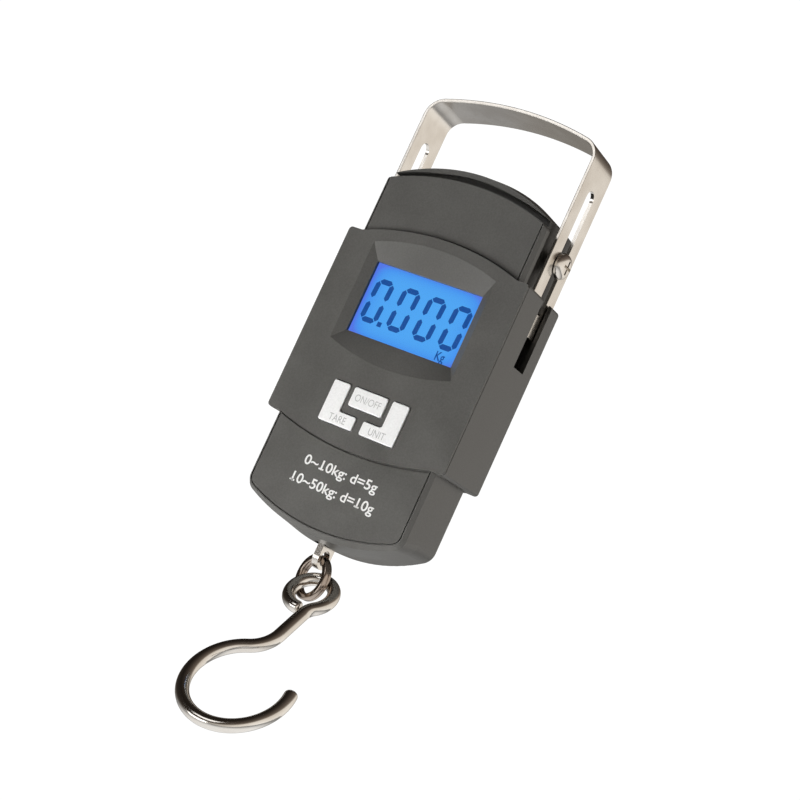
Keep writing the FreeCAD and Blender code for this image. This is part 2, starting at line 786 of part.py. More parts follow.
def weighing_beam():
    """Strain-gauge beam: twin holes joined by a slit, two side slits, and a fork for the hook tab."""
    half = beam_width / 2
    beam = box((-half, beam_front, beam_bottom), (half, beam_back, beam_top))
    middle = (beam_top + beam_bottom) / 2 + 2
    for side in (-1, 1):
        z = middle + side * beam_hole_spread / 2
        beam = beam.cut(rod(beam_hole / 2, (0, 0, z), (0, through, z)))
    slit_half = 0.8
    hole_half = beam_hole_spread / 2
    beam = beam.cut(box((-slit_half, 0, middle - hole_half), (slit_half, through, middle + hole_half)))
    upper = middle + beam_slit_spread / 2
    lower = middle - beam_slit_spread / 2
    beam = beam.cut(box((-through, 0, upper - beam_slit / 2), (half - 3, through, upper + beam_slit / 2)))
    beam = beam.cut(box((-half + 3, 0, lower - beam_slit / 2), (through, through, lower + beam_slit / 2)))
    gap = tab_thickness / 2 + fit / 2
    beam = beam.cut(box((-gap, 0, beam_bottom - 1), (gap, through, rivet_height + 5.2)))
    rivet_start = (-through, load_line, rivet_height)
    beam = beam.cut(rod(rivet_diameter / 2 + slip, rivet_start, (through, load_line, rivet_height)))
    for side in (-1, 1):
        x = side * hanger_screw_spread / 2
        hole_start = (x, load_line, beam_top - 9)
        beam = beam.cut(rod(hanger_screw_diameter / 2 + press, hole_start, (x, load_line, beam_top + 1)))
    return beam


def gauge_pad():
    """Silicone pad over the strain gauges."""
    middle = (beam_top + beam_bottom) / 2 + 2
    return box((-4.5, beam_front - 0.3, middle - 8), (4.5, beam_front, middle + 8))


def hook_tab():
    """Steel tab from the beam's fork down through the case, with a round end and a hole for the ring."""
    half = tab_thickness / 2
    head = box(
        (-half, load_line - tab_head_width / 2, beam_bottom + 0.5),
        (half, load_line + tab_head_width / 2, rivet_height + 5.0),
    )
    strip = box(
        (-half, load_line - tab_width / 2, tab_hole_height),
        (half, load_line + tab_width / 2, beam_bottom + 1),
    )
    end = rod(tab_width / 2, (-half, load_line, tab_hole_height), (half, load_line, tab_hole_height))
    tab = head.fuse(strip).fuse(end).removeSplitter()
    tab = tab.cut(rod(rivet_diameter / 2 + slip, (-5, load_line, rivet_height), (5, load_line, rivet_height)))
    hole = rod(tab_hole_diameter / 2, (-5, load_line, tab_hole_height), (5, load_line, tab_hole_height))
    return tab.cut(hole)


def tab_rivet():
    """Rivet through the beam's fork and the tab."""
    half = beam_width / 2
    end = half + rivet_head
    shank = rod(rivet_diameter / 2, (-end, load_line, rivet_height), (end, load_line, rivet_height))
    for side in (-1, 1):
        head = rod(
            rivet_diameter / 2 + rivet_head, (side * half, load_line, rivet_height),
            (side * end, load_line, rivet_height),
        )
        shank = shank.fuse(head)
    return shank.removeSplitter()


def handle():
    """Flat strap bent into a U with an arched bar, and a long slot in each leg."""
    front = strap_middle - strap_width / 2
    bar_radius = handle_bar_radius
    outer = arched_wire(strap_outer, 0, 200, bar_top, bar_radius, 3, handle_corner, front)
    inner = arched_wire(
        strap_inner, 5, 200, bar_top - strap_thickness, bar_radius - strap_thickness, 3,
        handle_corner - strap_thickness, front,
    )
    strap = deepen(outer, strap_width).cut(deepen(inner, strap_width))
    strap = strap.common(box((-through, 0, leg_bottom), (through, through, bar_top + 1)))
    slot_low = leg_bottom + slot_bottom_above_leg + slot_width / 2
    slot_high = leg_bottom + slot_bottom_above_leg + slot_length - slot_width / 2
    reach = strap_outer + 5
    slot = box(
        (-reach, strap_middle - slot_width / 2, slot_low), (reach, strap_middle + slot_width / 2, slot_high),
    )
    for z in (slot_low, slot_high):
        slot = slot.fuse(rod(slot_width / 2, (-reach, strap_middle, z), (reach, strap_middle, z)))
    strap = strap.cut(slot)
    corners = []
    for edge in strap.Edges:
        bounds = edge.BoundBox
        if abs(bounds.ZMax - leg_bottom) < 0.01 and bounds.YLength < 0.01 and bounds.XLength > 0.5:
            corners.append(edge)
    strap = strap.makeFillet(strap_foot_round, corners)
    back = strap_middle + strap_width / 2
    rims = rim_edges(strap, front) + rim_edges(strap, back)
    return strap.makeFillet(strap_edge_round, [edge for edge in rims if edge.Length > strap_thickness * 2])


def side_screw():
    """Right-hand pan-head screw with a cross recess."""
    seat = strap_outer + screw_under_head
    top = seat + screw_head_height
    tip = inner_half_upper - 0.2 - screw_into_bar
    neck = (seat, strap_middle, screw_height)
    shank = rod(side_screw_diameter / 2, (tip, strap_middle, screw_height), neck)
    head = rod(screw_head_diameter / 2, neck, (top, strap_middle, screw_height))
    rounded = [edge for edge in head.Edges if abs(edge.BoundBox.XMin - top) < 0.01]
    head = head.makeFillet(screw_dome, rounded)
    slot_half = side_screw_diameter * 0.11
    slot_reach = side_screw_diameter * 0.58
    for wide, tall in ((slot_half, slot_reach), (slot_reach, slot_half)):
        head = head.cut(box(
            (top - 1.4, strap_middle - wide, screw_height - tall),
            (top + 1, strap_middle + wide, screw_height + tall),
        ))
    return shank.fuse(head).removeSplitter()


def slot_bush():
    """Right-hand nylon bush that keeps the screw head off the strap."""
    start = inner_half_upper - 0.1
    end = strap_outer + screw_under_head
    outer = rod(bush_diameter / 2, (start, strap_middle, screw_height), (end, strap_middle, screw_height))
    hole_end = (through, strap_middle, screw_height)
    hole = rod(side_screw_diameter / 2 + screw_play, (0, strap_middle, screw_height), hole_end)
    return outer.cut(hole)


def ring_centre():
    """Centre of the link ring, hanging from the hole in the tab."""
    return Vector(0, load_line, ring_top - ring_radius)


def link_ring():
    """Split ring of flat wire: two turns side by side, with the joint between them as a groove."""
    half = ring_wire / 2
    section = box(
        (ring_radius - half, -ring_depth / 2, -0.5), (ring_radius + half, ring_depth / 2, 0.5)
    )
    lengthways = [edge for edge in section.Edges if edge.BoundBox.ZLength > 0.5]
    section = section.makeFillet(ring_corner, lengthways)
    face = [face for face in section.Faces if face.BoundBox.ZMin > 0.4][0]
    face.translate(Vector(0, 0, -0.5))
    ring = face.revolve(Vector(0, 0, 0), Vector(0, 1, 0), 360)
    for radius in (ring_radius - half, ring_radius + half):
        ring = ring.cut(Part.makeTorus(radius, ring_groove, Vector(0, 0, 0), Vector(0, 1, 0)))
    ring.rotate(Vector(0, 0, 0), Vector(0, 0, 1), ring_turn)
    ring.translate(ring_centre())
    return ring


def hook():
    """Bent wire: open eye, straight shank, a reverse bend and a round bowl, ending in a blunt tip."""
    bend_side = shank_offset + eye_bend
    bend_drop = math.sqrt((eye_radius + eye_bend) ** 2 - bend_side ** 2)
    leave = Vector(bend_side, -bend_drop, 0).normalize() * eye_radius
    end_x = shank_offset - hook_wire / 2 - eye_gap
    free_end = Vector(end_x, -math.sqrt(eye_radius ** 2 - end_x ** 2), 0)
    bowl_drop = math.sqrt((shank_bend + bowl_radius) ** 2 - (shank_bend + bowl_offset - shank_offset) ** 2)
    bowl_centre = Vector(bowl_offset, -(shank_length + bowl_drop), 0)
    bend_centre = Vector(shank_offset - shank_bend, -shank_length, 0)
    meet = bowl_centre + (bend_centre - bowl_centre).normalize() * bowl_radius
    tip_way = Vector(math.sqrt(bowl_radius ** 2 - tip_rise ** 2), tip_rise, 0)
    small_centre = Vector(bend_side, -bend_drop, 0)
    small_mid = small_centre + (Vector(-1, 0, 0) + (leave - small_centre).normalize()).normalize() * eye_bend
    bend_mid = bend_centre + (Vector(1, 0, 0) + (meet - bend_centre).normalize()).normalize() * shank_bend
    shank_top = Vector(shank_offset, -bend_drop, 0)
    shank_foot = Vector(shank_offset, -shank_length, 0)
    path = Part.Wire([
        Part.Arc(free_end, Vector(0, eye_radius, 0), leave).toShape(),
        Part.Arc(leave, small_mid, shank_top).toShape(),
        Part.LineSegment(shank_top, shank_foot).toShape(),
        Part.Arc(shank_foot, bend_mid, meet).toShape(),
        Part.Arc(meet, bowl_centre + Vector(-0.6, -0.8, 0) * bowl_radius, bowl_centre + tip_way).toShape(),
    ])
    start_way = Vector(-free_end.y, free_end.x, 0)
    profile = Part.Wire([Part.makeCircle(hook_wire / 2, free_end, start_way)])
    wire = path.makePipeShell([profile], True, False)
    tip = bowl_centre + tip_way
    ends = [edge for edge in wire.Edges if edge.Length < 14 and is_wire_end(edge, free_end, tip)]
    wire = wire.makeFillet(hook_wire * 0.22, ends)
    wire.rotate(Vector(0, 0, 0), Vector(1, 0, 0), 90 - hook_lean)
    wire.translate(ring_centre() + eye_from_ring)
    return wire


def is_wire_end(edge, start, end):
    """True for the round edge at either end of the bent wire."""
    middle = edge.BoundBox.Center
    return min((middle - start).Length, (middle - end).Length) < 0.6


def battery():
    """One AAA cell standing on its flat end at the origin."""
    body = Part.makeCylinder(battery_diameter / 2, battery_length - battery_nub)
    body = body.makeFillet(0.5, [edge for edge in body.Edges if edge.Closed])
    nub = Part.makeCylinder(1.9, battery_nub, Vector(0, 0, battery_length - battery_nub))
    return body.fuse(nub).removeSplitter()


def place_battery(side):
    """Left cell with its nub up, right cell with its nub down."""
    cell = battery()
    depth = trough_floor + trough_half
    if side < 0:
        foot = battery_bottom + contact_thickness + spring_length
        cell.translate(Vector(side * battery_spread / 2, depth, foot))
    else:
        cell.rotate(Vector(0, 0, 0), Vector(1, 0, 0), 180)
        top = battery_bottom + contact_thickness + battery_length
        cell.translate(Vector(side * battery_spread / 2, depth, top))
    return cell


def battery_contacts():
    """Four plates at the ends of the troughs."""
    depth = trough_floor + trough_half
    plates = []
    for side in (-1, 1):
        x = side * battery_spread / 2
        for low in (battery_bottom, trough_top - contact_thickness):
            plates.append(box((x - 4.6, depth - 4.6, low), (x + 4.6, depth + 4.0, low + contact_thickness)))
    return Part.makeCompound(plates)


def battery_spring(side):
    """Spring on the flat end of one cell, closed up into a stack of rings."""
    depth = trough_floor + trough_half
    low = battery_bottom + contact_thickness + touch_gap
    if side > 0:
        low = trough_top - contact_thickness - spring_length + touch_gap
    first = low + spring_wire / 2
    pitch = (spring_length - 2 * touch_gap - spring_wire) / (spring_turns - 1)
    x = side * battery_spread / 2
    spring = Part.makeTorus(spring_radius, spring_wire / 2, Vector(x, depth, first))
    for turn in range(1, spring_turns):
        ring = Part.makeTorus(spring_radius, spring_wire / 2, Vector(x, depth, first + turn * pitch))
        spring = spring.fuse(ring)
    return spring


def case_screws():
    """Four self-tapping screws from the back into the pillars of the front cover."""
    screws = []
    for x, z in case_screw_points:
        shank = rod(case_screw_diameter / 2, (x, 7.5, z), (x, 20, z))
        head = rod(case_screw_head / 2, (x, 20, z), (x, 22, z))
        for wide, tall in ((0.35, 1.5), (1.5, 0.35)):
            head = head.cut(box((x - wide, 21, z - tall), (x + wide, 23, z + tall)))
        screws.append(shank.fuse(head).removeSplitter())
    return Part.makeCompound(screws)


def board_screws():
    """Four small screws that hold the board to the front cover."""
    screws = []
    for x, z in board_screw_points:
        shank = rod(board_screw_diameter / 2, (x, 4.6, z), (x, board_back, z))
        head = rod(board_screw_diameter * 0.9, (x, board_back, z), (x, board_back + 1.3, z))
        screws.append(shank.fuse(head).removeSplitter())
    return Part.makeCompound(screws)


def build():
    """Makes every piece and writes it."""
    os.makedirs("parts", exist_ok=True)
    save("front_cover", front_cover())
    save("back_shell", back_shell())
    save("battery_cover", battery_cover())
    save("display_window", display_window())
    save("display_glass", display_glass())
    save("backlight_panel", backlight_panel())
    save("display_holder", display_holder())
    save("contact_strip", contact_strip())
    save("main_board", main_board())
    save("processor_chip", board_chip(14.5, view_bottom + 8, 9, 9, 1.4))
    save("converter_chip", board_chip(-14.5, view_bottom + 2, 6, 5, 1.4))
    save("reservoir_capacitor", reservoir_capacitor())
    save("tact_switches", tact_switches())
    left = outer_button()
    save("tare_button", left)
    save("unit_button", both_sides(left)[1])
    save("power_button", power_button())
    save("power_plunger", plunger(*power_switch))
    save("tare_plunger", plunger(-side_switch_x, side_switch_z))
    save("unit_plunger", plunger(side_switch_x, side_switch_z))
    save("hanger_bar", hanger_bar())
    save("hanger_screws", hanger_screws())
    save("weighing_beam", weighing_beam())
    save("gauge_pad", gauge_pad())
    save("hook_tab", hook_tab())
    save("tab_rivet", tab_rivet())
    save("handle", handle())
    save("side_screws", Part.makeCompound(both_sides(side_screw())))
    save("slot_bushes", Part.makeCompound(both_sides(slot_bush())))
    save("link_ring", link_ring())
    save("hook", hook())
    save("battery_left", place_battery(-1))
    save("battery_right", place_battery(1))
    save("battery_contacts", battery_contacts())
    save("battery_springs", Part.makeCompound([battery_spring(-1), battery_spring(1)]))
    save("case_screws", case_screws())
    save("board_screws", board_screws())


build()
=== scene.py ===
import math
import re

import bpy
from mathutils import Matrix, Vector


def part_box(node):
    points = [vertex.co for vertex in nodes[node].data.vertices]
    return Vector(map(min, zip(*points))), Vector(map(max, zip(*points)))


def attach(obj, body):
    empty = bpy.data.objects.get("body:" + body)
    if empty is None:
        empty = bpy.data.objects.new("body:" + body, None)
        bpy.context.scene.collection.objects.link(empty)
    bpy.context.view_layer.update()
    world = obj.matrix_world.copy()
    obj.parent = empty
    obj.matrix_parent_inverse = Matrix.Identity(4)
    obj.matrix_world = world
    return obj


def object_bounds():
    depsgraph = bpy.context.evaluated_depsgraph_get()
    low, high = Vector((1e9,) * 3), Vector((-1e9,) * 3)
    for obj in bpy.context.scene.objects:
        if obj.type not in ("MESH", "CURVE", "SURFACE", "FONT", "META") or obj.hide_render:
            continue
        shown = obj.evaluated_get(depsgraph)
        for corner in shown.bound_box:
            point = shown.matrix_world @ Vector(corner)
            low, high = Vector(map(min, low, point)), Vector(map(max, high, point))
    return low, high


mm = 0.001  # places and sizes below are in millimetres

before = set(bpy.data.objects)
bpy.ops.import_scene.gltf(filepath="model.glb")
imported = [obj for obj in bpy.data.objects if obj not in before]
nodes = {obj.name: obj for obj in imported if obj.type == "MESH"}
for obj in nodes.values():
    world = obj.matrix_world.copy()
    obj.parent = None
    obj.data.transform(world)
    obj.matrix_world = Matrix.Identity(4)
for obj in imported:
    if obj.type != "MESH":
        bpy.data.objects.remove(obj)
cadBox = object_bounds()
print("frame loaded:", len(nodes), "CAD nodes")


def hexColour(text):  # sRGB hex to the linear colour that a socket holds
    parts = [int(text[i:i + 2], 16) / 255 for i in (1, 3, 5)]
    linear = [c / 12.92 if c <= 0.04045 else ((c + 0.055) / 1.055) ** 2.4 for c in parts]
    return (*linear, 1.0)


def addNode(tree, kind, inputs=None, stops=None, **settings):
    # one node with its settings, its values or links by socket name, and the stops of its colour ramp
    node = tree.nodes.new(kind)
    for name, value in settings.items():
        setattr(node, name, value)
    for name, value in (inputs or {}).items():
        if isinstance(value, bpy.types.NodeSocket):
            tree.links.new(value, node.inputs[name])
        else:
            node.inputs[name].default_value = value
    for count, (place, colour) in enumerate((stops or {}).items()):
        ramp = node.color_ramp.elements
        if count == 0:  # a new ramp comes with two stops: one goes, the other becomes the first
            ramp.remove(ramp[1])
        element = ramp[0] if count == 0 else ramp.new(place)
        element.position = place
        element.color = hexColour(colour)
    return node


def newMaterial(name, **values):  # the values go on the principled shader's own sockets
    material = bpy.data.materials.new(name)
    material.use_nodes = True
    tree = material.node_tree
    shader = tree.nodes["Principled BSDF"]
    for key, value in values.items():
        shader.inputs[key.replace("_", " ")].default_value = value
    return material, tree, shader


def mouldedAbs(name, look):
    # ABS moulded in a spark-eroded tool: a fine pitted grain with soft broad highlights. The real grain is
    # 0.15 mm across, too fine to show, so it is drawn coarser; slow patches are flow and wear from handling
    material, tree, shader = newMaterial(name, IOR=look["ior"], Specular_IOR_Level=look["specular"])
    place = addNode(tree, "ShaderNodeTexCoord")
    grain = addNode(tree, "ShaderNodeTexNoise", {
        "Vector": place.outputs["Object"], "Scale": 1 / (look["grain"] * mm),
        "Detail": 3.0, "Roughness": 0.6})
    flow = addNode(tree, "ShaderNodeTexNoise", {
        "Vector": place.outputs["Object"], "Scale": 1 / (look["patch"] * mm), "Detail": 2.0})
    blend = addNode(tree, "ShaderNodeMath", {
        0: grain.outputs["Fac"], 1: flow.outputs["Fac"]}, operation="ADD")
    half = addNode(tree, "ShaderNodeMath", {0: blend.outputs["Value"], 1: 0.5}, operation="MULTIPLY")
    tint = addNode(tree, "ShaderNodeValToRGB", {"Fac": half.outputs["Value"]},
                   stops={0.36: look["dark"], 0.64: look["light"]})
    tree.links.new(tint.outputs["Color"], shader.inputs["Base Color"])
    gloss = addNode(tree, "ShaderNodeMapRange", {
        "Value": flow.outputs["Fac"], "From Min": 0.3, "From Max": 0.7,
        "To Min": look["roughness"][0], "To Max": look["roughness"][1]})
    tree.links.new(gloss.outputs["Result"], shader.inputs["Roughness"])
    bump = addNode(tree, "ShaderNodeBump", {
        "Height": grain.outputs["Fac"], "Strength": look["strength"], "Distance": look["bump"] * mm})
    tree.links.new(bump.outputs["Normal"], shader.inputs["Normal"])
    return material


def platedSteel(name, look):
    # nickel plate on drawn or rolled steel: mirror-like and a little warm, with fine lines along the metal
    # under the plate and slow clouds where the plate is thicker
    material, tree, shader = newMaterial(name, Metallic=1.0)
    place = addNode(tree, "ShaderNodeTexCoord")
    along = addNode(tree, "ShaderNodeMapping", {"Vector": place.outputs["Object"], "Scale": look["stretch"]})
    lines = addNode(tree, "ShaderNodeTexNoise", {
        "Vector": along.outputs["Vector"], "Scale": 1 / (look["line"] * mm), "Detail": 2.0})
    clouds = addNode(tree, "ShaderNodeTexNoise", {
        "Vector": place.outputs["Object"], "Scale": 1 / (look["cloud"] * mm), "Detail": 2.0})
    tint = addNode(tree, "ShaderNodeValToRGB", {"Fac": clouds.outputs["Fac"]},
                   stops={0.3: look["dark"], 0.7: look["light"]})
    tree.links.new(tint.outputs["Color"], shader.inputs["Base Color"])
    gloss = addNode(tree, "ShaderNodeMapRange", {
        "Value": lines.outputs["Fac"], "From Min": 0.3, "From Max": 0.7,
        "To Min": look["roughness"][0], "To Max": look["roughness"][1]})
    tree.links.new(gloss.outputs["Result"], shader.inputs["Roughness"])
    bump = addNode(tree, "ShaderNodeBump", {
        "Height": lines.outputs["Fac"], "Strength": 0.35, "Distance": look["bump"] * mm})
    tree.links.new(bump.outputs["Normal"], shader.inputs["Normal"])
    return material


def litDisplay(name, look):
    # liquid-crystal glass over a blue light guide: an even bright blue that turns violet at the guide's edges
    material, tree, shader = newMaterial(
        name, Base_Color=hexColour(look["unlit"]), Roughness=0.5, IOR=1.5, Specular_IOR_Level=0.1,
        Emission_Strength=1.0)
    place = addNode(tree, "ShaderNodeTexCoord")
    axes = addNode(tree, "ShaderNodeSeparateXYZ", {"Vector": place.outputs["Object"]})
    sides = []  # for each axis, 0 over most of the glass and 1 at its edges
    for axis, middle, half in zip("XZ", look["middle"], look["half"]):
        offset = addNode(tree, "ShaderNodeMath", {
            0: axes.outputs[axis], 1: middle * mm}, operation="SUBTRACT")
        share = addNode(tree, "ShaderNodeMath", {
            0: offset.outputs["Value"], 1: half * mm}, operation="DIVIDE")
        size = addNode(tree, "ShaderNodeMath", {0: share.outputs["Value"]}, operation="ABSOLUTE")
        power = addNode(tree, "ShaderNodeMath", {
            0: size.outputs["Value"], 1: look["fade"]}, operation="POWER")
        sides.append(power.outputs["Value"])
    edge = addNode(tree, "ShaderNodeMath", {0: sides[0], 1: sides[1]}, operation="ADD")
    glow = addNode(tree, "ShaderNodeValToRGB", {"Fac": edge.outputs["Value"]},
                   stops={0.0: look["blue"], 0.5: look["edge"], 1.0: look["corner"]})
    tree.links.new(glow.outputs["Color"], shader.inputs["Emission Color"])
    return material


def plainSurface(name, look):
    # painted, printed, moulded or soft finish: two close tones in patches, and a slight unevenness
    material, tree, shader = newMaterial(
        name, Metallic=look.get("metallic", 0.0), Roughness=look["roughness"], IOR=1.5,
        Emission_Color=hexColour(look.get("glow", "#000000")),
        Emission_Strength=look.get("glowStrength", 0.0))
    place = addNode(tree, "ShaderNodeTexCoord")
    patches = addNode(tree, "ShaderNodeTexNoise", {
        "Vector": place.outputs["Object"], "Scale": 1 / (look["patch"] * mm), "Detail": 3.0})
    tint = addNode(tree, "ShaderNodeValToRGB", {"Fac": patches.outputs["Fac"]},
                   stops={0.3: look["dark"], 0.7: look["light"]})
    tree.links.new(tint.outputs["Color"], shader.inputs["Base Color"])
    bump = addNode(tree, "ShaderNodeBump", {
        "Height": patches.outputs["Fac"], "Strength": 0.4, "Distance": look.get("bump", 0.004) * mm})
    tree.links.new(bump.outputs["Normal"], shader.inputs["Normal"])
    return material


def clearAcrylic(name, look):
    # cast acrylic window: clear and glossy, so thin that only its gloss and a faint smoky patch show
    material, tree, shader = newMaterial(name, Roughness=0.04, IOR=1.49, Alpha=look["cover"])
    place = addNode(tree, "ShaderNodeTexCoord")
    haze = addNode(tree, "ShaderNodeTexNoise", {
        "Vector": place.outputs["Object"], "Scale": 1 / (look["patch"] * mm)})
    tint = addNode(tree, "ShaderNodeValToRGB", {"Fac": haze.outputs["Fac"]},
                   stops={0.3: look["dark"], 0.7: look["light"]})
    tree.links.new(tint.outputs["Color"], shader.inputs["Base Color"])
    return material


absLook = {  # grain, patch and bump in millimetres
    "dark": "#51504D", "light": "#5E5D5A", "grain": 0.5, "patch": 16.0, "bump": 0.022, "strength": 0.55,
    "roughness": (0.32, 0.42), "ior": 1.53, "specular": 0.35}
plateLook = {  # line, cloud and bump in millimetres; stretch draws the lines out along an axis
    "light": "#E3DFD9", "dark": "#D3CDC5", "line": 0.25, "cloud": 9.0, "bump": 0.003,
    "roughness": (0.1, 0.18), "stretch": (1, 1, 1)}
caseAbs = mouldedAbs("matteDarkGreyAbs", absLook)
coverAbs = mouldedAbs("batteryCoverAbs", {**absLook, "dark": "#4E4D4A", "light": "#5A5957", "grain": 0.6})
strapNickel = platedSteel("satinNickelPlatedStrap", {  # rolled strip: lines run up the legs
    **plateLook, "roughness": (0.16, 0.26), "stretch": (1, 1, 0.1)})
hookNickel = platedSteel("polishedNickelPlatedHook", plateLook)
# the ring's plate is a darker, browner copy of the others: painted shade, standing for the shade and brown
# reflections inside the ring
ringNickelPaintedShade = platedSteel("nickelPlatedRingPaintedShade", {**plateLook, "light": "#B5A89D", "dark": "#978A80"})
screwNickel = platedSteel("nickelPlatedScrews", {**plateLook, "roughness": (0.14, 0.24)})
tabNickel = platedSteel("stampedNickelPlatedTab", {**plateLook, "roughness": (0.16, 0.28)})
plainSteel = platedSteel("zincPlatedSteel", {
    **plateLook, "light": "#BFC1C4", "dark": "#A6A9AD", "roughness": (0.28, 0.4)})
beamAluminium = platedSteel("milledAluminium", {  # milled bar: cutter lines along the beam
    **plateLook, "light": "#CFD0D2", "dark": "#BDBEC0", "roughness": (0.3, 0.42), "stretch": (1, 1, 0.05)})
displayBlue = litDisplay("litBlueLiquidCrystal", {  # middle and half are of the lit field, across and up
    "middle": (0.0, -73.8), "half": (20.5, 12.6), "fade": 7.0, "unlit": "#06101C", "blue": "#54AEFF",
    "edge": "#4C9CFB", "corner": "#5A7EF2"})
windowAcrylic = clearAcrylic("castAcrylicWindow", {
    "patch": 6.0, "dark": "#0C141C", "light": "#18222C", "cover": 0.06})
silverPaint = plainSurface("pearlSilverPaint", {
    "dark": "#F0F0EF", "light": "#FAFAF9", "patch": 0.5, "roughness": 0.36, "metallic": 0.1, "bump": 0.008})
lightGuide = plainSurface("frostedAcrylicLightGuide", {
    "dark": "#C9DDF2", "light": "#D8E8F8", "patch": 3.0, "roughness": 0.4})
whitePlastic = plainSurface("naturalAcetal", {
    "dark": "#DAD9D3", "light": "#E6E5E0", "patch": 4.0, "roughness": 0.45, "bump": 0.01})
pinkRubber = plainSurface("stripedConductiveRubber", {
    "dark": "#D9B2B5", "light": "#C99DA1", "patch": 0.4, "roughness": 0.7})
greenBoard = plainSurface("greenSolderMask", {
    "dark": "#0E4A22", "light": "#15602E", "patch": 2.0, "roughness": 0.35, "bump": 0.02})
blackEpoxy = plainSurface("blackMouldedEpoxy", {
    "dark": "#141414", "light": "#1E1E1E", "patch": 0.4, "roughness": 0.55, "bump": 0.01})
capSleeve = plainSurface("capacitorSleeve", {
    "dark": "#20242E", "light": "#2A303C", "patch": 2.0, "roughness": 0.35})
blackAcetal = plainSurface("blackAcetal", {
    "dark": "#161616", "light": "#202020", "patch": 0.6, "roughness": 0.45, "bump": 0.01})
softSilicone = plainSurface("whiteSilicone", {
    "dark": "#E4E4E0", "light": "#F0F0EC", "patch": 1.0, "roughness": 0.5, "bump": 0.03})
cellJacket = plainSurface("printedCellJacket", {
    "dark": "#1B2A5C", "light": "#24356E", "patch": 8.0, "roughness": 0.25})
blackZinc = plainSurface("blackZincScrews", {
    "dark": "#15161A", "light": "#26272B", "patch": 0.5, "roughness": 0.35, "metallic": 0.9})
whiteInk = plainSurface("whitePadPrint", {  # thick screen ink, a little uneven
    "dark": "#D6D6D3", "light": "#F4F4F2", "patch": 0.3, "roughness": 0.6, "bump": 0.006})
greyInk = plainSurface("greyPadPrint", {
    "dark": "#B4B4B2", "light": "#C6C6C4", "patch": 0.3, "roughness": 0.6})
segmentBlue = plainSurface("darkLiquidCrystalSegment", {  # the crystal blocks most of the backlight
    "dark": "#03121F", "light": "#041626", "patch": 1.0, "roughness": 0.6, "glow": "#0A50A4",
    "glowStrength": 0.9})

finishes = {
    "front_cover": caseAbs, "back_shell": caseAbs, "battery_cover": coverAbs,
    "display_window": windowAcrylic, "display_glass": displayBlue, "backlight_panel": lightGuide,
    "display_holder": whitePlastic, "contact_strip": pinkRubber, "main_board": greenBoard,
    "processor_chip": blackEpoxy, "converter_chip": blackEpoxy, "reservoir_capacitor": capSleeve,
    "tact_switches": blackAcetal, "tare_button": silverPaint, "unit_button": silverPaint,
    "power_button": silverPaint, "power_plunger": blackAcetal, "tare_plunger": blackAcetal,
    "unit_plunger": blackAcetal, "hanger_bar": plainSteel, "hanger_screws": plainSteel,
    "weighing_beam": beamAluminium, "gauge_pad": softSilicone, "hook_tab": tabNickel, "tab_rivet": plainSteel,
    "handle": strapNickel, "side_screws": screwNickel, "slot_bushes": whitePlastic, "link_ring": ringNickelPaintedShade,
    "hook": hookNickel, "battery_left": cellJacket, "battery_right": cellJacket,
    "battery_contacts": screwNickel, "battery_springs": screwNickel, "case_screws": blackZinc,
    "board_screws": plainSteel,
}
for nodeName, finish in finishes.items():
    for holder in nodes[nodeName].material_slots:
        holder.material = finish
print("finishes laid on", len(finishes), "CAD nodes")


def clearSelection():
    bpy.ops.object.select_all(action="DESELECT")


def finishPiece(piece, name, material, body):
    # puts the piece's place into its mesh, names it, gives it its finish and rides it on its body
    bpy.context.view_layer.update()
    piece.data.transform(piece.matrix_world)
    piece.matrix_world = Matrix.Identity(4)
    piece.name = name
    piece.data.name = name
    piece.data.materials.clear()
    piece.data.materials.append(material)
    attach(piece, body)
    return piece


def joinPieces(pieces):
    clearSelection()
    for piece in pieces:
        piece.select_set(True)
    bpy.context.view_layer.objects.active = pieces[0]
    bpy.ops.object.join()
    return bpy.context.view_layer.objects.active


def standUp(front):  # turns what was drawn flat upright, to face forwards at this depth
    return Matrix.Translation((0, front, 0)) @ Matrix.Rotation(math.radians(90), 4, "X")


segments = {
    "digitLeft": (-19.2, -9.0, 0.9, 10.7),  # left foot of each digit
    "digitBase": -81.2, "height": 15.0, "width": 6.9, "lean": 0.055,
    "thick": 1.75, "gap": 0.2, "middleGap": 0.5, "depth": 0.03,
    "lift": 0.01,  # how far the digits stand off the glass
    "point": (-11.1, -80.5), "pointSize": 1.6,
}
unitMark = {"words": "Kg", "place": (11.9, -84.9), "lift": 0.02, "size": 4.2, "bold": 0.06, "stretch": 0.78}
printing = {"thick": 0.03, "curveSteps": 5}  # thickness of the ink, and points along each curve of a letter


def displaySegment(start, end, look):
    # a hexagon as tall as the segment is thick, drawn out between its pointed ends, then given a depth
    clearSelection()
    thick = look["thick"]
    bpy.ops.mesh.primitive_circle_add(vertices=6, radius=thick / math.sqrt(3) * mm, fill_type="NGON")
    piece = bpy.context.active_object
    piece.data.transform(Matrix.Diagonal((math.sqrt(3), 1, 1, 1)) @ Matrix.Rotation(math.radians(30), 4, "Z"))
    along = end - start
    stretch = along.length / 2 - thick
    for corner in piece.data.vertices:
        corner.co.x += math.copysign(stretch * mm, corner.co.x)
    bpy.ops.object.mode_set(mode="EDIT")
    bpy.ops.mesh.select_all(action="SELECT")
    bpy.ops.mesh.extrude_region_move(TRANSFORM_OT_translate={"value": (0, 0, look["depth"] * mm)})
    bpy.ops.mesh.select_all(action="SELECT")
    bpy.ops.mesh.normals_make_consistent(inside=False)
    bpy.ops.object.mode_set(mode="OBJECT")
    middle = (start + end) / 2
    turn = Matrix.Rotation(math.atan2(along.y, along.x), 4, "Z")
    piece.data.transform(Matrix.Translation((middle.x * mm, middle.y * mm, 0)) @ turn)
    return piece


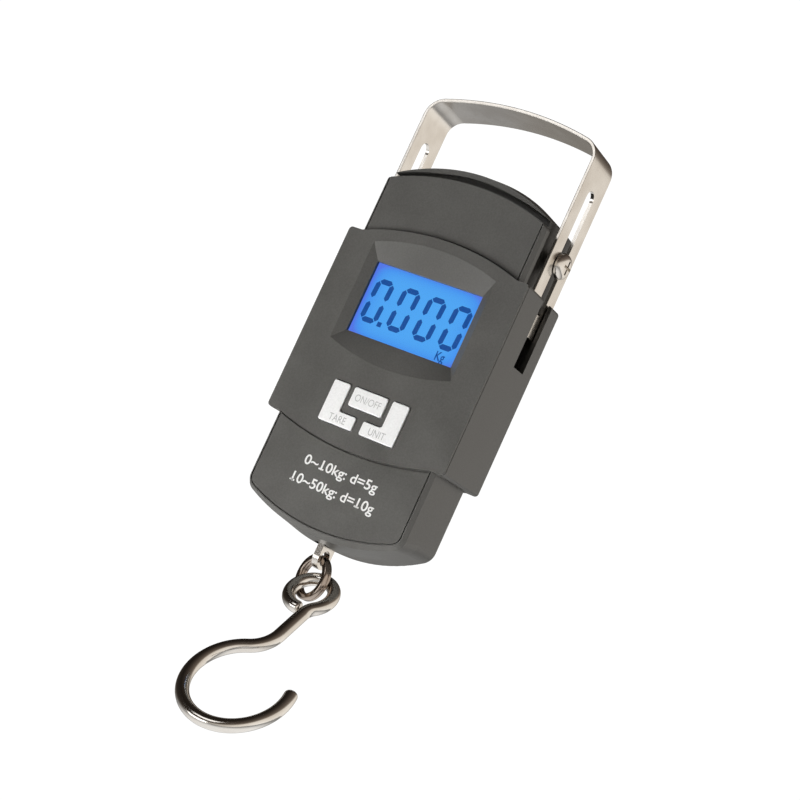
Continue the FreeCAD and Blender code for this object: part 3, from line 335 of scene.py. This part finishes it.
def displayDigits(look):  # zeros of six segments, leaning a little, and the point
    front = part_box("display_glass")[0].y - look["lift"] * mm
    thick = look["thick"]
    width, height = look["width"] - thick, look["height"] - thick
    lean = Matrix.Identity(4)
    lean[0][1] = look["lean"]
    lean[0][3] = -look["lean"] * look["digitBase"] * mm
    rest = Vector((0, look["middleGap"]))
    pieces = []
    for left in look["digitLeft"]:
        low = Vector((left + thick / 2, look["digitBase"] + thick / 2))
        right, up = Vector((width, 0)), Vector((0, height))
        runs = [(low, low + right), (low + up, low + up + right),
                (low, low + up / 2 - rest), (low + up / 2 + rest, low + up),
                (low + right, low + right + up / 2 - rest), (low + right + up / 2 + rest, low + right + up)]
        for start, end in runs:
            trim = (end - start).normalized() * look["gap"]
            piece = displaySegment(start + trim, end - trim, look)
            piece.data.transform(lean)
            pieces.append(piece)
    bpy.ops.mesh.primitive_cube_add(size=1, location=(look["point"][0] * mm, look["point"][1] * mm, 0))
    point = bpy.context.active_object
    point.scale = (look["pointSize"] * mm, look["pointSize"] * mm, 2 * look["depth"] * mm)
    bpy.ops.object.transform_apply(location=True, rotation=True, scale=True)
    pieces.append(point)
    digits = joinPieces(pieces)
    digits.matrix_world = standUp(front)
    finishPiece(digits, "display_digits", segmentBlue, "case")


def flatText(words, look):  # lettering drawn flat at the origin, as a mesh with a little thickness
    clearSelection()
    bpy.ops.object.text_add(location=(0, 0, 0))
    text = bpy.context.active_object
    text.data.body = words
    text.data.size = look["size"] * mm
    text.data.extrude = printing["thick"] / 2 * mm
    text.data.offset = look["bold"] * mm
    text.data.resolution_u = printing["curveSteps"]
    bpy.ops.object.convert(target="MESH")
    piece = bpy.context.active_object
    piece.data.transform(Matrix.Diagonal((look["stretch"], 1, 1, 1)))
    return piece


def sideways(piece):  # least and greatest x of a mesh
    reach = [corner.co.x for corner in piece.data.vertices]
    return min(reach), max(reach)


def printRow(words, left, right, base, look):
    # a row of lettering fitted between left and right, with a foot under each figure one
    pieces = []
    cursor = 0.0
    for part in re.findall("1|[^1]+", words):
        piece = flatText(part, look)
        low, high = sideways(piece)
        if part == "1":
            footWidth = look["size"] * look["footWidth"] * mm
            stemMiddle = high - look["size"] * look["stem"] * mm
            bpy.ops.mesh.primitive_cube_add(size=1, location=(0, 0, 0))
            foot = bpy.context.active_object
            foot.data.transform(
                Matrix.Translation((stemMiddle, look["footThick"] / 2 * mm, 0))
                @ Matrix.Diagonal((footWidth, look["footThick"] * mm, printing["thick"] * mm, 1)))
            piece = joinPieces([piece, foot])
            low, high = sideways(piece)
        piece.data.transform(Matrix.Translation((cursor - low, 0, 0)))
        cursor += high - low + look["space"] * mm
        pieces.append(piece)
    row = joinPieces(pieces)
    low, high = sideways(row)
    row.data.transform(
        Matrix.Translation((left * mm, base * mm, 0))
        @ Matrix.Diagonal(((right - left) * mm / (high - low), 1, 1, 1))
        @ Matrix.Translation((-low, 0, 0)))
    row.matrix_world = standUp(look["front"] * mm)
    return row


displayDigits(segments)
unitSign = flatText(unitMark["words"], unitMark)
unitSign.data.transform(Matrix.Translation([v * mm for v in (*unitMark["place"], 0)]))
unitSign.matrix_world = standUp(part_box("display_glass")[0].y - unitMark["lift"] * mm)
finishPiece(unitSign, "display_unit", segmentBlue, "case")
print("display digits made")

capacityPrint = {
    "front": -15.3, "size": 4.5, "stretch": 0.95, "bold": 0.07, "space": 0.45,
    "footWidth": 0.36, "stem": 0.06,  # as shares of the size
    "footThick": 0.5,
    "rows": [  # words, left end, right end, foot
        ("0~10kg: d=5g", -13.3, 14.6, -130.0),
        ("10~50kg: d=10g", -15.5, 16.5, -136.4)],
}
for row, (words, left, right, base) in enumerate(capacityPrint["rows"]):
    finishPiece(printRow(words, left, right, base, capacityPrint), f"capacity_print_{row + 1}", whiteInk,
                "case")
buttonLabels = {
    "front": -17.3, "size": 3.3, "stretch": 0.82, "bold": 0.0,
    "rows": [  # words, middle, foot, button, name
        ("ON/OFF", 0.0, -106.3, "power_button", "power_label"),
        ("TARE", -7.6, -114.6, "tare_button", "tare_label"),
        ("UNIT", 7.6, -114.6, "unit_button", "unit_label")],
}
for words, middle, base, body, name in buttonLabels["rows"]:
    label = flatText(words, buttonLabels)
    low, high = sideways(label)
    label.data.transform(Matrix.Translation((middle * mm - (low + high) / 2, base * mm, 0)))
    label.matrix_world = standUp(buttonLabels["front"] * mm)
    finishPiece(label, name, greyInk, body)
print("printing laid on the case and the buttons")

studio = {  # in millimetres and degrees, but the floor's size and the point the lights aim at in metres
    "camera": (266.80, -460.82, -154.78), "turn": (96.58, -24.45, 27.33), "lens": 76.0423, "sensor": 36.0,
    "clip": 10.0, "floorDrop": 900.0, "floorSize": 6.0, "floorGlow": 1.05, "backdrop": 1.05,
    "ambient": "#5C5A57", "lightsAim": (0.0, 0.0, -0.1),
}

bpy.ops.object.camera_add(location=[v * mm for v in studio["camera"]],
                          rotation=[math.radians(v) for v in studio["turn"]])
camera = bpy.context.active_object
camera.name = "studioCamera"
camera.data.lens = studio["lens"]
camera.data.sensor_width = studio["sensor"]
camera.data.clip_start = studio["clip"] * mm
bpy.context.scene.camera = camera

floorLevel = cadBox[0][2] - studio["floorDrop"] * mm
bpy.ops.mesh.primitive_plane_add(size=studio["floorSize"], location=(0, 0, floorLevel))
floor = bpy.context.active_object
floor.name = "studioFloor"


def paleFloor(name):
    # matt white paper roll, evenly lit: seen directly it is as white as the backdrop, and in bright metal
    # it dims away from the object
    material, tree, shader = newMaterial(name, Roughness=0.8)
    place = addNode(tree, "ShaderNodeTexCoord")
    fibre = addNode(tree, "ShaderNodeTexNoise", {"Vector": place.outputs["Object"], "Scale": 2.5})
    tint = addNode(tree, "ShaderNodeValToRGB", {"Fac": fibre.outputs["Fac"]},
                   stops={0.3: "#A4A3A1", 0.7: "#A9A8A6"})
    tree.links.new(tint.outputs["Color"], shader.inputs["Base Color"])
    path = addNode(tree, "ShaderNodeLightPath")
    reach = addNode(tree, "ShaderNodeVectorMath", {0: place.outputs["Object"]}, operation="LENGTH")
    fade = addNode(tree, "ShaderNodeMapRange", {
        "Value": reach.outputs["Value"], "From Min": 0.8, "From Max": 2.2, "To Min": 1.0, "To Max": 0.3})
    share = addNode(tree, "ShaderNodeMath", {
        0: path.outputs["Is Camera Ray"], 1: fade.outputs["Result"]}, operation="MAXIMUM")
    strength = addNode(tree, "ShaderNodeMath", {
        0: share.outputs["Value"], 1: studio["floorGlow"]}, operation="MULTIPLY")
    glow = addNode(tree, "ShaderNodeEmission", {
        "Color": hexColour("#FFFFFF"), "Strength": strength.outputs["Value"]})
    direct = addNode(tree, "ShaderNodeMath", {
        0: path.outputs["Is Camera Ray"], 1: path.outputs["Is Glossy Ray"]}, operation="MAXIMUM")
    mix = addNode(tree, "ShaderNodeMixShader", {
        "Fac": direct.outputs["Value"], 1: shader.outputs["BSDF"], 2: glow.outputs["Emission"]})
    tree.links.new(mix.outputs["Shader"], tree.nodes["Material Output"].inputs["Surface"])
    return material


floor.data.materials.append(paleFloor("whitePaperRoll"))

softBoxes = {  # place in metres, width and height in metres, radiance, seen in reflections
    "lowKeyBox": ((-0.1, -0.34, -0.42), (0.34, 0.26), 8.8, False),
    "frontLeftBox": ((-0.5, -0.8, -0.3), (0.6, 0.5), 0.7, False),
    "backBox": ((-0.35, 1.0, 0.15), (0.8, 0.8), 3.2, False),
    "backRightBox": ((0.95, 0.25, -0.3), (0.7, 0.8), 2.9, False),
    "glossStrip": ((-0.55, -0.88, -0.42), (0.6, 0.35), 2.2, True),
    "edgeStrip": ((-0.5, -0.98, 0.35), (0.5, 0.35), 1.5, True),
}
for name, (place, size, radiance, reflects) in softBoxes.items():
    bpy.ops.object.light_add(type="AREA", location=place)
    light = bpy.context.active_object
    light.name = name
    light.data.shape = "RECTANGLE"
    light.data.size, light.data.size_y = size
    light.data.energy = radiance * math.pi * size[0] * size[1]  # watts from radiance and area
    light.visible_camera = False
    light.visible_glossy = reflects
    aim = Vector(studio["lightsAim"]) - Vector(place)
    light.rotation_euler = aim.to_track_quat("-Z", "Y").to_euler()

tent = {  # what the metal reflects: light below and dark above, along an axis, and brighter to the right
    "axis": (-0.35, -0.1, 0.93), "sides": (-0.6, 0.5), "sideStrength": (0.26, 1.2),
    "stops": {0.0: "#FFFFFF", 0.3: "#F4F0EA", 0.45: "#E8E2DA", 0.56: "#E2DCD4", 0.63: "#8E857C",
              0.72: "#665C54", 0.99: "#423A34"},
}


def lightTent(name, look):
    # three skies: white behind the object, the tent in reflections, and an even grey for the rest
    world = bpy.data.worlds.new(name)
    world.use_nodes = True
    sky = world.node_tree
    sky.nodes.clear()
    direction = addNode(sky, "ShaderNodeTexCoord")
    axes = addNode(sky, "ShaderNodeSeparateXYZ", {"Vector": direction.outputs["Generated"]})
    up = addNode(sky, "ShaderNodeVectorMath", {
        0: direction.outputs["Generated"], 1: look["axis"]}, operation="DOT_PRODUCT")
    level = addNode(sky, "ShaderNodeMapRange", {
        "Value": up.outputs["Value"], "From Min": -1.0, "From Max": 1.0})
    shade = addNode(sky, "ShaderNodeValToRGB", {"Fac": level.outputs["Result"]}, stops=look["stops"])
    side = addNode(sky, "ShaderNodeMapRange", {
        "Value": axes.outputs["X"], "From Min": look["sides"][0], "From Max": look["sides"][1],
        "To Min": look["sideStrength"][0], "To Max": look["sideStrength"][1]})
    reflected = addNode(sky, "ShaderNodeBackground", {
        "Color": shade.outputs["Color"], "Strength": side.outputs["Result"]})
    ambient = addNode(sky, "ShaderNodeBackground", {"Color": hexColour(studio["ambient"]), "Strength": 1.0})
    seen = addNode(sky, "ShaderNodeBackground", {
        "Color": hexColour("#FFFFFF"), "Strength": studio["backdrop"]})
    path = addNode(sky, "ShaderNodeLightPath")
    lit = addNode(sky, "ShaderNodeMixShader", {
        "Fac": path.outputs["Is Glossy Ray"], 1: ambient.outputs["Background"],
        2: reflected.outputs["Background"]})
    mix = addNode(sky, "ShaderNodeMixShader", {
        "Fac": path.outputs["Is Camera Ray"], 1: lit.outputs["Shader"], 2: seen.outputs["Background"]})
    addNode(sky, "ShaderNodeOutputWorld", {"Surface": mix.outputs["Shader"]})
    return world


bpy.context.scene.world = lightTent("studioWorld", tent)
bpy.context.scene.view_settings.view_transform = "Standard"
print("studio set")
